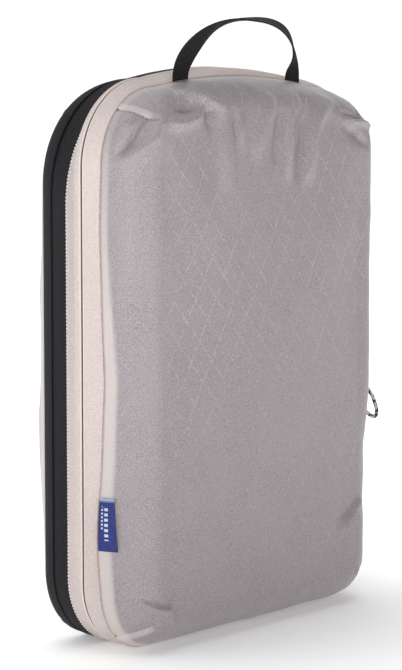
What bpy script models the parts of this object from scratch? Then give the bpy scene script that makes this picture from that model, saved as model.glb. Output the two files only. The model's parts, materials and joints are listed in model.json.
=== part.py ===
"""Compression packing cube: two zipped fabric trays on a tape ring.

Metres, +Z up, X across the width, -Y towards the gathered front tray.
The origin lies on the underside of the tape ring the cube stands on.
"""

import math

import bmesh
import bpy
import numpy as np

# overall outline
WIDTH = 0.260
HEIGHT = 0.360
RADIUS_NEAR = 0.048
RADIUS_FAR = 0.062
FOOT_RADIUS_NEAR = 0.037
FOOT_RADIUS_FAR = 0.048
WAIST = 0.020
WAIST_FROM_SLIT = 0.0035
TOP_CROWN = 0.007

# zipper ring: four visible half tapes side by side
HALF_TAPE = 0.0128
RING_CENTRE = 0.0064
BULGE = 0.0060
BULGE_POWER = 3.0
TAPE_THICK = 0.0010
SLIT = 0.0012
SEAM_GAP = 0.0003
SPINE_HALF = 0.056
ARC_GAP = 0.003
HINGE_GAP = 0.0003

NEAR_SEAM = RING_CENTRE - 2.0 * HALF_TAPE
COMPRESSION_SLIT = RING_CENTRE - HALF_TAPE
MID_SEAM = RING_CENTRE
MAIN_SLIT = RING_CENTRE + HALF_TAPE
FAR_SEAM = RING_CENTRE + 2.0 * HALF_TAPE

# boxed fabric trays
PANEL_THICK = 0.0012
NEAR_DEPTH = 0.0270
FAR_DEPTH = 0.0210
TRAY_INSET_X = 0.0300
TRAY_INSET_Z = 0.0230
TRAY_START = 0.42
NEAR_TRAY_CORNER = 0.014
FAR_TRAY_CORNER = 0.046
FACE_CROWN = 0.0070

# inner trim
COIL_RADIUS = 0.00065
COIL_SIDE = 0.0015
BINDING_START = 0.0019
BINDING_END = 0.0085
BINDING_THICK = 0.0012
GUSSET_OUT = 0.0052
GUSSET_IN = 0.0135
GUSSET_THICK = 0.0006
GUSSET_PLEATS = 3
GUSSET_FOLD = 1.9

# sliders and pulls
SLIDER_WIDTH = 0.0094
SLIDER_LENGTH = 0.0115
OUTER_PLATE = 0.0013
INNER_PLATE = 0.0010
PLATE_OUT = 0.00620
PLATE_IN = 0.00235
NECK_THICK = 0.0005
COMPRESSION_SLIDER_Z = 0.165
MAIN_SLIDER_Z = 0.078
BRIDGE_WIDTH = 0.0022
BRIDGE_CLEAR = 0.0018
BRIDGE_BAR = 0.0009
LINK_BAR = 0.00055
LINK_WIDTH = 0.0051
LINK_LENGTH = 0.0094
COMPRESSION_LEAN = math.radians(43.0)
MAIN_LEAN = math.radians(14.0)
CORD_RADIUS = 0.0014
CORD_SHAPE = (
    (-0.0022, 0.0),
    (-0.0010, 0.0020),
    (0.0040, 0.0025),
    (0.0130, 0.0046),
    (0.0230, 0.0063),
    (0.0330, 0.0066),
    (0.0410, 0.0052),
    (0.0467, 0.0027),
    (0.0482, 0.0),
)

# handle
WEBBING = 0.015
WEBBING_THICK = 0.0013
HANDLE_CENTRE = 0.0025
HANDLE_SPAN = 0.116
HANDLE_RISE = 0.0385
HANDLE_LEAN = 0.010
HANDLE_CLEAR = 0.0016

# side label and zip end patch
LABEL_Z = 0.0845
LABEL_HEIGHT = 0.034
LABEL_REACH = 0.0120
LABEL_THICK = 0.0008
PATCH_LOW = 0.120
PATCH_HIGH = 0.144

TAPE_ROWS = 7
ARC_STEPS = 7
SIDE_STEPS = 5
TOP_STEPS = 8


def clear_scene():
    for item in list(bpy.data.objects):
        bpy.data.objects.remove(item, do_unlink=True)


def material(name, colour, roughness, metallic=0.0):
    made = bpy.data.materials.new(name)
    made.use_nodes = True
    shader = made.node_tree.nodes["Principled BSDF"]
    shader.inputs["Base Color"].default_value = (*colour, 1.0)
    shader.inputs["Roughness"].default_value = roughness
    shader.inputs["Metallic"].default_value = metallic
    made.diffuse_color = (*colour, 1.0)
    return made


def place(name, points, faces, slot, pivot=(0.0, 0.0, 0.0), smooth=True):
    """Make one closed body whose origin is at the pivot."""
    bm = bmesh.new()
    corners = [bm.verts.new(tuple(np.asarray(p) - np.asarray(pivot))) for p in points]
    for face in faces:
        bm.faces.new([corners[i] for i in face])
    bmesh.ops.recalc_face_normals(bm, faces=bm.faces)
    if bm.calc_volume(signed=True) < 0.0:
        bmesh.ops.reverse_faces(bm, faces=bm.faces)
    for face in bm.faces:
        face.smooth = smooth
    mesh = bpy.data.meshes.new(name)
    bm.to_mesh(mesh)
    bm.free()
    mesh.materials.append(slot)
    made = bpy.data.objects.new(name, mesh)
    made.location = pivot
    bpy.context.collection.objects.link(made)
    return made


def sweep(sections, closed):
    """Skin K profile points carried along N stations; sections is K x N x 3."""
    sections = np.asarray(sections)
    count, stations = sections.shape[0], sections.shape[1]
    points = sections.reshape(-1, 3)
    faces = []
    for k in range(count):
        nxt = (k + 1) % count
        for i in range(stations if closed else stations - 1):
            j = (i + 1) % stations
            faces.append((k * stations + i, k * stations + j, nxt * stations + j, nxt * stations + i))
    if not closed:
        faces.append([k * stations for k in range(count)])
        faces.append([k * stations + stations - 1 for k in reversed(range(count))])
    return points, faces


def loop(half, low, high, radius, foot_radius, crown=TOP_CROWN):
    """Outline in XZ from the bottom centre, anticlockwise, with its normals."""
    reach = half - radius
    foot_reach = half - foot_radius
    points = []
    normals = []

    def add(x, z, nx, nz):
        points.append((x, z))
        normals.append((nx, nz))

    def arc(cx, cz, start, size):
        for step in range(ARC_STEPS + 1):
            angle = start + 0.5 * math.pi * step / ARC_STEPS
            c, s = math.cos(angle), math.sin(angle)
            add(cx + size * c, cz + size * s, c, s)

    flat = min(SPINE_HALF, foot_reach - ARC_GAP)
    for x in (0.0, 0.5 * flat, flat):
        add(x, low, 0.0, -1.0)
    side_low = low + foot_radius
    side_high = high - radius
    arc(foot_reach, side_low, -0.5 * math.pi, foot_radius)
    for step in range(1, SIDE_STEPS):
        add(half, side_low + (side_high - side_low) * step / SIDE_STEPS, 1.0, 0.0)
    arc(reach, side_high, 0.0, radius)
    for step in range(1, TOP_STEPS):
        x = reach * (1.0 - 2.0 * step / TOP_STEPS)
        add(x, high + crown * (1.0 - (x / reach) ** 2), 0.0, 1.0)
    arc(-reach, side_high, 0.5 * math.pi, radius)
    for step in range(1, SIDE_STEPS):
        add(-half, side_high - (side_high - side_low) * step / SIDE_STEPS, -1.0, 0.0)
    arc(-foot_reach, side_low, math.pi, foot_radius)
    for x in (-flat, -0.5 * flat):
        add(x, low, 0.0, -1.0)
    return np.array(points), np.array(normals)


def smooth_step(a, b, t):
    t = min(1.0, max(0.0, (t - a) / (b - a)))
    return t * t * (3.0 - 2.0 * t)


def bulge(y):
    u = abs(y - RING_CENTRE) / (2.0 * HALF_TAPE)
    return BULGE * max(0.0, 1.0 - u ** BULGE_POWER)


def waist(y):
    """How far the top corners are drawn in, most at the middle seam."""
    if y < MID_SEAM:
        return WAIST * smooth_step(COMPRESSION_SLIT + WAIST_FROM_SLIT, MID_SEAM, y)
    return WAIST * smooth_step(FAR_SEAM, MID_SEAM, y)


def ring_loop(y):
    u = 0.5 * (y - NEAR_SEAM) / (2.0 * HALF_TAPE)
    swell = bulge(y)
    radius = RADIUS_NEAR + (RADIUS_FAR - RADIUS_NEAR) * u + swell + waist(y)
    foot_radius = FOOT_RADIUS_NEAR + (FOOT_RADIUS_FAR - FOOT_RADIUS_NEAR) * u + swell
    return loop(0.5 * WIDTH + swell, 0.0, HEIGHT + swell, radius, foot_radius)


def ring_points(y, depth, tilted=True):
    """Points on the ring surface at y, sunk by depth along its normal."""
    points, normals = ring_loop(y)
    out = np.zeros((len(points), 3))
    out[:, 0] = points[:, 0]
    out[:, 1] = y
    out[:, 2] = points[:, 1]
    step = 1e-5
    slope = ((ring_loop(y + step)[0] - ring_loop(y - step)[0]) * normals).sum(axis=1) / (2.0 * step)
    if not tilted:
        slope = slope * 0.0
    normal = np.stack([normals[:, 0], -slope, normals[:, 1]], axis=1)
    normal /= np.linalg.norm(normal, axis=1)[:, None]
    return out - normal * depth


def zipped_part(points):
    """Cut a loop down to the length the main zipper covers."""
    return points[2:len(points) - 1]


def tape(name, start, stop, slot, whole=True):
    rows = np.linspace(start, stop, TAPE_ROWS)
    sections = [ring_points(y, 0.0) for y in rows]
    sections += [ring_points(y, TAPE_THICK) for y in rows[::-1]]
    if not whole:
        sections = [zipped_part(s) for s in sections]
    points, faces = sweep(sections, whole)
    return place(name, points, faces, slot)


def coil(name, slit, side, slot, whole=True):
    depth = TAPE_THICK + 0.0001 + COIL_RADIUS
    sections = []
    for k in range(6):
        angle = math.pi * (k + 0.5) / 3.0
        across = slit + side * COIL_SIDE + COIL_RADIUS * math.cos(angle)
        base = ring_points(slit + side * COIL_SIDE, depth + COIL_RADIUS * math.sin(angle))
        base[:, 1] += across - (slit + side * COIL_SIDE)
        sections.append(base if whole else zipped_part(base))
    points, faces = sweep(sections, whole)
    return place(name, points, faces, slot)


def binding(name, seam, slot):
    half = 0.5 * BINDING_THICK
    corners = (
        (seam - half, BINDING_START),
        (seam + half, BINDING_START),
        (seam + half, BINDING_END),
        (seam - half, BINDING_END),
    )
    sections = []
    for y, depth in corners:
        base = ring_points(seam, depth, tilted=False)
        base[:, 1] = y
        sections.append(base)
    points, faces = sweep(sections, True)
    return place(name, points, faces, slot)


def gusset(name, slot):
    """Folded expansion cloth tucked behind the compression zipper."""
    first = NEAR_SEAM + 0.0018
    last = MID_SEAM - 0.0018
    folds = 2 * GUSSET_PLEATS + 1
    centre = []
    for k in range(folds):
        y = first + (last - first) * k / (folds - 1)
        centre.append((y, GUSSET_OUT if k % 2 == 0 else GUSSET_IN))
    upper = []
    lower = []
    half = 0.5 * GUSSET_THICK
    for k, (y, depth) in enumerate(centre):
        if k in (0, folds - 1):
            side = half if k == 0 else -half
            upper.append((y + side, depth - half))
            lower.append((y - side, depth + half))
            continue
        upper.append((y, depth - GUSSET_FOLD * half))
        lower.append((y, depth + GUSSET_FOLD * half))
    sections = []
    for y, depth in upper + lower[::-1]:
        base = ring_points(y, depth, tilted=False)
        sections.append(base)
    points, faces = sweep(sections, True)
    return place(name, points, faces, slot)


def tray_rows(seam, side, depth):
    """Loops from the seam to the face of a boxed tray."""
    rows = []
    start = TRAY_START
    steps = 6
    base, foot, corner = RADIUS_FAR, FOOT_RADIUS_FAR, FAR_TRAY_CORNER
    if side < 0:
        base, foot, corner = RADIUS_NEAR, FOOT_RADIUS_NEAR, NEAR_TRAY_CORNER
    for k in range(steps + 1):
        t = k / steps
        angle = start + (0.5 * math.pi - start) * t
        inset = (math.cos(start) - math.cos(angle)) / math.cos(start)
        out = depth * (math.sin(angle) - math.sin(start)) / (1.0 - math.sin(start))
        points, _ = loop(
            0.5 * WIDTH - TRAY_INSET_X * inset,
            TRAY_INSET_Z * inset,
            HEIGHT - TRAY_INSET_Z * inset,
            base + (corner - base) * inset,
            foot + (corner - foot) * inset,
        )
        y = seam + side * (0.5 * SEAM_GAP + out)
        rows.append(np.stack([points[:, 0], np.full(len(points), y), points[:, 1]], axis=1))
    rim = rows[-1]
    middle = np.array([0.0, rim[0, 1], 0.5 * HEIGHT])
    for scale in (0.78, 0.5, 0.24):
        inner = middle + (rim - middle) * scale
        inner[:, 1] = rim[0, 1] + side * FACE_CROWN * (1.0 - scale ** 2)
        rows.append(inner)
    middle[1] += side * FACE_CROWN
    return rows, middle


def cloth(rows, middle, side, thick):
    """Give a dished cloth its thickness towards the inside."""
    count = len(rows[0])
    outer = np.concatenate(rows + [middle[None, :]])
    last = len(outer) - 1
    quads = []
    for r in range(len(rows) - 1):
        for i in range(count):
            j = (i + 1) % count
            quads.append((r * count + i, r * count + j, (r + 1) * count + j, (r + 1) * count + i))
    ring = (len(rows) - 1) * count
    cap = [(ring + i, ring + (i + 1) % count, last) for i in range(count)]
    normals = np.zeros_like(outer)
    for face in quads + cap:
        a, b, c = outer[face[0]], outer[face[1]], outer[face[2]]
        normal = np.cross(b - a, c - a)
        for i in face:
            normals[i] += normal
    normals /= np.linalg.norm(normals, axis=1)[:, None]
    if normals[last, 1] * side < 0.0:
        normals = -normals
    normals[:count, 1] = 0.0
    inner = outer - normals * thick
    points = np.concatenate([outer, inner])
    shift = len(outer)
    faces = quads + cap
    faces += [tuple(i + shift for i in reversed(f)) for f in quads + cap]
    faces += [(i, (i + 1) % count, (i + 1) % count + shift, i + shift) for i in range(count)]
    return points, faces


def panel(name, seam, side, depth, slot):
    rows, middle = tray_rows(seam, side, depth)
    points, faces = cloth(rows, middle, side, PANEL_THICK)
    return place(name, points, faces, slot)


def spine(name, start, stop, slot):
    half = SPINE_HALF - 0.0004
    xs = np.linspace(-half, half, 3)
    sections = []
    for y, z in ((start, 0.0), (stop, 0.0), (stop, TAPE_THICK), (start, TAPE_THICK)):
        sections.append([(x, y, z) for x in xs])
    points, faces = sweep(sections, False)
    return place(name, points, faces, slot)


def box(low, high):
    corners = [
        (x, y, z)
        for z in (low[2], high[2])
        for y in (low[1], high[1])
        for x in (low[0], high[0])
    ]
    faces = [(0, 2, 3, 1), (4, 5, 7, 6), (0, 1, 5, 4), (2, 6, 7, 3), (0, 4, 6, 2), (1, 3, 7, 5)]
    return corners, faces


def join_boxes(name, boxes, slot, pivot, bevel):
    """Unite boxes that share volume into one body, with softened edges."""
    made = [place(name if i == 0 else name + "_tool%d" % i, *box(*b), slot, pivot, False)
            for i, b in enumerate(boxes)]
    body = made[0]
    for tool in made[1:]:
        cut = body.modifiers.new("join", "BOOLEAN")
        cut.operation = "UNION"
        cut.solver = "EXACT"
        cut.object = tool
    soft = body.modifiers.new("soft", "BEVEL")
    soft.width = bevel
    soft.segments = 2
    soft.limit_method = "ANGLE"
    soft.angle_limit = math.radians(50.0)
    bpy.context.view_layer.update()
    graph = bpy.context.evaluated_depsgraph_get()
    mesh = bpy.data.meshes.new_from_object(body.evaluated_get(graph))
    body.modifiers.clear()
    body.data = mesh
    for tool in made[1:]:
        bpy.data.objects.remove(tool, do_unlink=True)
    return body


def slider(name, slit, z, slot):
    """Outer plate, neck through the slit, inner plate and the pull's bridge."""
    wall = 0.5 * WIDTH
    half_w = 0.5 * SLIDER_WIDTH
    half_l = 0.5 * SLIDER_LENGTH
    out0 = wall + PLATE_OUT
    out1 = out0 + OUTER_PLATE
    in1 = wall + PLATE_IN
    in0 = in1 - INNER_PLATE
    neck = 0.5 * NECK_THICK
    arch0 = out1 + BRIDGE_CLEAR
    arch1 = arch0 + BRIDGE_BAR
    bridge = 0.5 * BRIDGE_WIDTH
    lap = 0.0003
    boxes = [
        ((out0, slit - half_w, z - half_l), (out1, slit + half_w, z + half_l)),
        ((in0, slit - half_w, z - half_l), (in1, slit + half_w, z + half_l)),
        ((in1 - lap, slit - neck, z + 0.0015), (out0 + lap, slit + neck, z + 0.0050)),
        ((out1 - lap, slit - bridge, z - 0.0046), (arch1, slit + bridge, z - 0.0036)),
        ((out1 - lap, slit - bridge, z + 0.0036), (arch1, slit + bridge, z + 0.0046)),
        ((arch0, slit - bridge, z - 0.0040), (arch1, slit + bridge, z + 0.0040)),
    ]
    return join_boxes(name, boxes, slot, (out1, slit, z), 0.0002)


def pull_pivot(slit, z):
    x = 0.5 * WIDTH + PLATE_OUT + OUTER_PLATE + 0.5 * BRIDGE_CLEAR
    return np.array([x, slit, z - 0.0026])


def hang(local, pivot, lean):
    """Lean a pull, drawn straight down from its pivot, out from the wall."""
    c, s = math.cos(lean), math.sin(lean)
    local = np.asarray(local)
    x = local[..., 0] * c - local[..., 2] * s
    z = local[..., 0] * s + local[..., 2] * c
    return np.stack([x, local[..., 1], z], axis=-1) + pivot


def tube(path, normals, across, radius, sides):
    """Closed tube: normals lie in the path's plane, across is its axis."""
    sections = []
    for k in range(sides):
        angle = 2.0 * math.pi * (k + 0.5) / sides
        sections.append(path + radius * (math.cos(angle) * normals + math.sin(angle) * across))
    return sections


def link(name, slit, z, lean, slot):
    """Wire frame hanging from the bridge by its round top bar."""
    pivot = pull_pivot(slit, z)
    half = 0.5 * LINK_WIDTH
    turn = 0.0009
    path = []
    normals = []
    centres = ((half - turn, -turn, 0.0), (-half + turn, -turn, 1.0))
    centres += ((-half + turn, -LINK_LENGTH + turn, 2.0), (half - turn, -LINK_LENGTH + turn, 3.0))
    for cy, cz, quarter in centres:
        for step in range(4):
            angle = 0.5 * math.pi * (quarter + step / 3.0)
            normals.append((0.0, math.cos(angle), math.sin(angle)))
            path.append((0.0, cy + turn * math.cos(angle), cz + turn * math.sin(angle)))
    sections = tube(np.array(path), np.array(normals), np.array([1.0, 0.0, 0.0]), LINK_BAR, 8)
    points, faces = sweep(hang(sections, pivot, lean), True)
    return place(name, points, faces, slot, tuple(pivot))


def smooth_loop(route, per_leg):
    """Closed Catmull-Rom curve through the route's points."""
    route = np.asarray(route)
    count = len(route)
    path = []
    for k in range(count):
        p0, p1, p2, p3 = (route[(k + d) % count] for d in (-1, 0, 1, 2))
        for step in range(per_leg):
            t = step / per_leg
            bend = 2.0 * p0 - 5.0 * p1 + 4.0 * p2 - p3
            turn = 3.0 * p1 - p0 - 3.0 * p2 + p3
            path.append(0.5 * (2.0 * p1 + (p2 - p0) * t + bend * t * t + turn * t ** 3))
    return np.array(path)


def cord(name, slit, z, lean, slot):
    """Springy cord loop round the link's lower bar, in the plane the pull swings in."""
    pivot = pull_pivot(slit, z)
    top = -LINK_LENGTH
    half = []
    for drop, width in CORD_SHAPE:
        half.append((width, 0.0, top - drop))
    mirrored = [(-x, y, h) for x, y, h in half[-2:0:-1]]
    path = hang(smooth_loop(half + mirrored, 3), (0.0, 0.0, 0.0), lean)
    curve = bpy.data.curves.new(name, "CURVE")
    curve.dimensions = "3D"
    curve.bevel_depth = CORD_RADIUS
    curve.bevel_resolution = 2
    curve.use_fill_caps = True
    spline = curve.splines.new("POLY")
    spline.points.add(len(path) - 1)
    for point, place_at in zip(spline.points, path):
        point.co = (*place_at, 1.0)
    spline.use_cyclic_u = True
    curve.materials.append(slot)
    made = bpy.data.objects.new(name, curve)
    made.location = pivot
    bpy.context.collection.objects.link(made)
    return made


def seam_top(x):
    reach = 0.5 * WIDTH - RADIUS_NEAR
    return HEIGHT + TOP_CROWN * (1.0 - (x / reach) ** 2)


def handle(name, slot):
    """Webbing sewn flat at both feet and turned on edge over the top."""
    half_span = 0.5 * HANDLE_SPAN
    foot = seam_top(half_span)
    count = 33
    path = []
    for k in range(count):
        angle = math.pi * (1.0 - k / (count - 1))
        c, s = math.cos(angle), math.sin(angle)
        sharpness = 0.95 if c < 0.0 else 0.8
        x = HANDLE_CENTRE + half_span * math.copysign(abs(c) ** sharpness, c)
        rise = HANDLE_RISE * abs(s) ** 0.86
        lean = HANDLE_LEAN * smooth_step(0.0, HANDLE_RISE, rise)
        path.append((x, NEAR_SEAM - lean, foot + HANDLE_CLEAR + rise))
    path = np.array(path)
    tangent = np.gradient(path, axis=0)
    tangent[0] = tangent[-1] = (0.0, 0.0, 1.0)
    tangent[-1, 2] = -1.0
    tangent /= np.linalg.norm(tangent, axis=1)[:, None]
    sections = [[], [], [], []]
    for k in range(count):
        t = k / (count - 1)
        turned = 90.0 * smooth_step(0.05, 0.52, t) + 54.0 * smooth_step(0.40, 0.78, t)
        turned += 36.0 * smooth_step(0.84, 1.0, t)
        twist = math.radians(turned)
        side = np.cross(np.array([0.0, 1.0, 0.0]), tangent[k])
        side /= np.linalg.norm(side)
        back = np.cross(tangent[k], side)
        wide = math.cos(twist) * side + math.sin(twist) * back
        thin = np.cross(tangent[k], wide)
        for n, (a, b) in enumerate(((-1, -1), (1, -1), (1, 1), (-1, 1))):
            p = path[k] + a * 0.5 * WEBBING * wide + b * 0.5 * WEBBING_THICK * thin
            if k in (0, count - 1):
                p[2] = seam_top(p[0]) + HANDLE_CLEAR
            sections[n].append(p)
    points, faces = sweep(sections, False)
    return place(name, points, faces, slot, (0.0, NEAR_SEAM, foot + HANDLE_CLEAR))


def label(name, slot):
    """Folded woven label lying along the side of the near tray."""
    rows, _ = tray_rows(NEAR_SEAM, -1, NEAR_DEPTH)
    widest = np.array([(r[:, 0].min(), r[0, 1]) for r in rows[:5]])
    step = np.linalg.norm(np.diff(widest, axis=0), axis=1)
    run = np.concatenate([[0.0], np.cumsum(step)])
    near = []
    far = []
    for s in np.linspace(0.0006, LABEL_REACH, 5):
        p = np.array([np.interp(s, run, widest[:, 0]), np.interp(s, run, widest[:, 1])])
        q = np.array([np.interp(s + 1e-4, run, widest[:, 0]), np.interp(s + 1e-4, run, widest[:, 1])])
        along = (q - p) / np.linalg.norm(q - p)
        out = np.array([along[1], -along[0]])
        near.append(p + out * 0.0006)
        far.append(p + out * (0.0006 + LABEL_THICK))
    sections = []
    for p in near + far[::-1]:
        sections.append([(p[0], p[1], LABEL_Z + 0.5 * LABEL_HEIGHT * e) for e in (-1.0, 1.0)])
    points, faces = sweep(sections, False)
    pivot = (float(near[0][0]), float(near[0][1]), LABEL_Z)
    return place(name, points, faces, slot, pivot)


def end_patch(name, slot):
    """Cloth patch sewn beside the slit where the compression zipper ends."""
    ys = (COMPRESSION_SLIT - 0.0066, COMPRESSION_SLIT - 0.0033, COMPRESSION_SLIT, COMPRESSION_SLIT + 0.0036)
    wall = 0.5 * WIDTH
    heights = [bulge(ys[0]) + 0.00045, bulge(ys[1]) + 0.0005, PLATE_OUT, PLATE_OUT]
    low = [(wall + h, y) for h, y in zip(heights, ys)]
    high = [(x + 0.0006, y) for x, y in low]
    sections = [[(x, y, z) for z in (PATCH_LOW, PATCH_HIGH)] for x, y in low + high[::-1]]
    points, faces = sweep(sections, False)
    return place(name, points, faces, slot)


def build():
    clear_scene()
    ripstop = material("ripstop_mauve_grey", (0.33, 0.29, 0.30), 0.42)
    beige = material("tape_beige", (0.80, 0.73, 0.68), 0.75)
    black = material("tape_black", (0.025, 0.025, 0.028), 0.80)
    beige_coil = material("coil_beige", (0.42, 0.29, 0.235), 0.40)
    black_coil = material("coil_black", (0.020, 0.020, 0.022), 0.40)
    bound = material("binding_grey", (0.16, 0.15, 0.15), 0.85)
    webbing = material("webbing_black", (0.016, 0.015, 0.015), 0.70)
    metal = material("slider_black", (0.03, 0.03, 0.03), 0.35, 0.0)
    rope = material("cord_speckled", (0.22, 0.20, 0.21), 0.80)
    navy = material("label_navy", (0.020, 0.035, 0.150), 0.70)

    half_slit = 0.5 * SLIT
    half_gap = 0.5 * SEAM_GAP

    panel("near_panel", NEAR_SEAM, -1, NEAR_DEPTH, ripstop)
    binding("near_seam_binding", NEAR_SEAM, bound)
    tape("compression_tape_near", NEAR_SEAM + half_gap, COMPRESSION_SLIT - half_slit, beige)
    coil("compression_coil_near", COMPRESSION_SLIT, -1, beige_coil)
    end_patch("compression_end_patch", beige)
    label("side_label", navy)
    handle("grab_handle", webbing)

    tape("compression_tape_far", COMPRESSION_SLIT + half_slit, MID_SEAM - half_gap, beige)
    coil("compression_coil_far", COMPRESSION_SLIT, 1, beige_coil)
    gusset("expansion_gusset", ripstop)
    binding("mid_seam_binding", MID_SEAM, bound)
    tape("main_tape_body", MID_SEAM + half_gap, MAIN_SLIT - half_slit, black, whole=False)
    coil("main_coil_body", MAIN_SLIT, -1, black_coil, whole=False)
    spine("hinge_spine_body", MID_SEAM + half_gap, MAIN_SLIT - 0.5 * HINGE_GAP, black)

    spine("hinge_spine_lid", MAIN_SLIT + 0.5 * HINGE_GAP, FAR_SEAM - half_gap, black)
    tape("main_tape_lid", MAIN_SLIT + half_slit, FAR_SEAM - half_gap, black, whole=False)
    coil("main_coil_lid", MAIN_SLIT, 1, black_coil, whole=False)
    binding("far_seam_binding", FAR_SEAM, bound)
    panel("far_panel", FAR_SEAM, 1, FAR_DEPTH, ripstop)

    pulls = (
        ("compression", COMPRESSION_SLIT, COMPRESSION_SLIDER_Z, COMPRESSION_LEAN),
        ("main", MAIN_SLIT, MAIN_SLIDER_Z, MAIN_LEAN),
    )
    for kind, slit, z, lean in pulls:
        slider(kind + "_slider", slit, z, metal)
        link(kind + "_pull_link", slit, z, lean, metal)
        cord(kind + "_pull_cord", slit, z, lean, rope)


build()
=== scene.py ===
"""Compression packing cube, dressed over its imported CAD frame.

Metres, +Z up, X across the width, -Y towards the gathered front tray.
"""

import json
import math

import bmesh
import bpy
import numpy as np
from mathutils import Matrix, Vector, noise


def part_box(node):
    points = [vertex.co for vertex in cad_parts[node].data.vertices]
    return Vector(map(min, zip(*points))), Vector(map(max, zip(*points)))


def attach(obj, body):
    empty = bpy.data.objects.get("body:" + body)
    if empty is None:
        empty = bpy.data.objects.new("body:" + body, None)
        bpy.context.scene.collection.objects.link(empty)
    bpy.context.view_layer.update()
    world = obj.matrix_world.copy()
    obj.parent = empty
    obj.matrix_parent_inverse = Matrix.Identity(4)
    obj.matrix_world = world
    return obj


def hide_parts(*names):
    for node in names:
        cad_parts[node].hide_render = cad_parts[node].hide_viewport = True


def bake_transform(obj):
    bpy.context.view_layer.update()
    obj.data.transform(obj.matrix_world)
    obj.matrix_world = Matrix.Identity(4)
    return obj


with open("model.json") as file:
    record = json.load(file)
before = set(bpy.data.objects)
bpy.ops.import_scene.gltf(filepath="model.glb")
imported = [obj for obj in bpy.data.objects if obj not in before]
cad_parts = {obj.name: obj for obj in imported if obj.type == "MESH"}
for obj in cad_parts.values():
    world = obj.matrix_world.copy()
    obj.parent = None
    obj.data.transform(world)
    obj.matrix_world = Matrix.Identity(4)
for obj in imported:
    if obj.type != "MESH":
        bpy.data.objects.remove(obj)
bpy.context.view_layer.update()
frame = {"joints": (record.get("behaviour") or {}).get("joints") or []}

# driving sizes of the frame
PANEL_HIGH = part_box("near_panel")[1]
FAR_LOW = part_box("far_panel")[0]
HALF_WIDTH = PANEL_HIGH.x
TOP_CROWN = 0.007
HEIGHT = PANEL_HIGH.z - TOP_CROWN
NEAR_SEAM = 0.5 * (PANEL_HIGH.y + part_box("compression_tape_near")[0].y)
FAR_SEAM = 0.5 * (FAR_LOW.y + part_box("hinge_spine_lid")[1].y)
HALF_TAPE = 0.25 * (FAR_SEAM - NEAR_SEAM)
RING_CENTRE = NEAR_SEAM + 2.0 * HALF_TAPE
COMPRESSION_SLIT = RING_CENTRE - HALF_TAPE
MID_SEAM = RING_CENTRE
MAIN_SLIT = RING_CENTRE + HALF_TAPE
RADIUS_NEAR = 0.048
RADIUS_FAR = 0.062
BULGE = 0.0060
BULGE_POWER = 3.0
SPINE_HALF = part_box("hinge_spine_lid")[1].x
ARC_GAP = 0.003
SLIT = 0.0012
SEAM_GAP = 0.0003
TAPE_THICK = 0.0010
TAPE_LIP = 0.00015
TAPE_WOBBLE = 0.00022
COIL_PITCH = 0.00142
COIL_WIRE = 0.00026

# boxed trays
NEAR_DEPTH = 0.0270
FAR_DEPTH = 0.0210
TRAY_INSET_X = 0.0300
TRAY_INSET_Z = 0.0230
TRAY_START = 0.42
FOOT_RADIUS_NEAR = 0.037
FOOT_RADIUS_FAR = 0.048
WAIST = 0.020
WAIST_FROM_SLIT = 0.0035
NEAR_TRAY_CORNER = 0.014
FAR_TRAY_CORNER = 0.046
FACE_CROWN = 0.0075
DART_END = 0.72
RIDGE_STRENGTH = 2.7
VALLEY_STRENGTH = 2.2
CLOTH = 0.0005

# how finely the outline and the trays are cut
SPINE_POINTS = 20
FOOT_POINTS = 8
ARC_POINTS = 49
SIDE_POINTS = 110
TOP_POINTS = 80
WALL_ROWS = 26
FACE_ROWS = 50


def smooth(start, stop, value):
    share = np.clip((value - start) / (stop - start), 0.0, 1.0)
    return share * share * (3.0 - 2.0 * share)


def hill(distance, width):
    return np.exp(-((distance / width) ** 2))


def unit(vectors):
    return vectors / np.linalg.norm(vectors, axis=-1, keepdims=True)


def ripple(points, scale, seed):
    """Smooth noise from -1 to 1 at each point; scale is its wavelength."""
    shift = Vector((seed * 7.3, seed * 3.1, seed * 5.7))
    flat = np.asarray(points).reshape(-1, 3) / scale
    values = [noise.noise(Vector(p) + shift) for p in flat]
    return np.array(values).reshape(np.asarray(points).shape[:-1])


# --- mesh making


def placed(name, data):
    """A new object in the scene."""
    made = bpy.data.objects.new(name, data)
    bpy.context.scene.collection.objects.link(made)
    return made


def finished(name, bm, material):
    """An object made of a finished mesh, shaded smooth, with its faces pointing out."""
    bmesh.ops.recalc_face_normals(bm, faces=bm.faces)
    for face in bm.faces:
        face.smooth = True
    mesh = bpy.data.meshes.new(name)
    bm.to_mesh(mesh)
    bm.free()
    mesh.materials.append(material)
    return placed(name, mesh)


def closed_up(points):
    """The rows again, with the first one repeated after the last."""
    return np.concatenate([points, points[:1]])


def run_along(points):
    """Length from the first row of points to each row, as the mean over a row."""
    steps = np.linalg.norm(np.diff(points, axis=0), axis=-1)
    if steps.ndim == 2:
        steps = steps.mean(axis=1)
    return np.concatenate([[0.0], np.cumsum(steps)])


def at_run(where, run, points):
    """The points, or directions, at these lengths along a run."""
    return np.stack([np.interp(where, run, column) for column in points.T], axis=-1)


def loft(bm, rings):
    """Faces between closed rings of vertices, and over the first and last."""
    for first, second in zip(rings, rings[1:]):
        for k in range(len(first)):
            j = (k + 1) % len(first)
            bm.faces.new((first[k], first[j], second[j], second[k]))
    bm.faces.new(rings[0])
    bm.faces.new(rings[-1])


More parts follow.
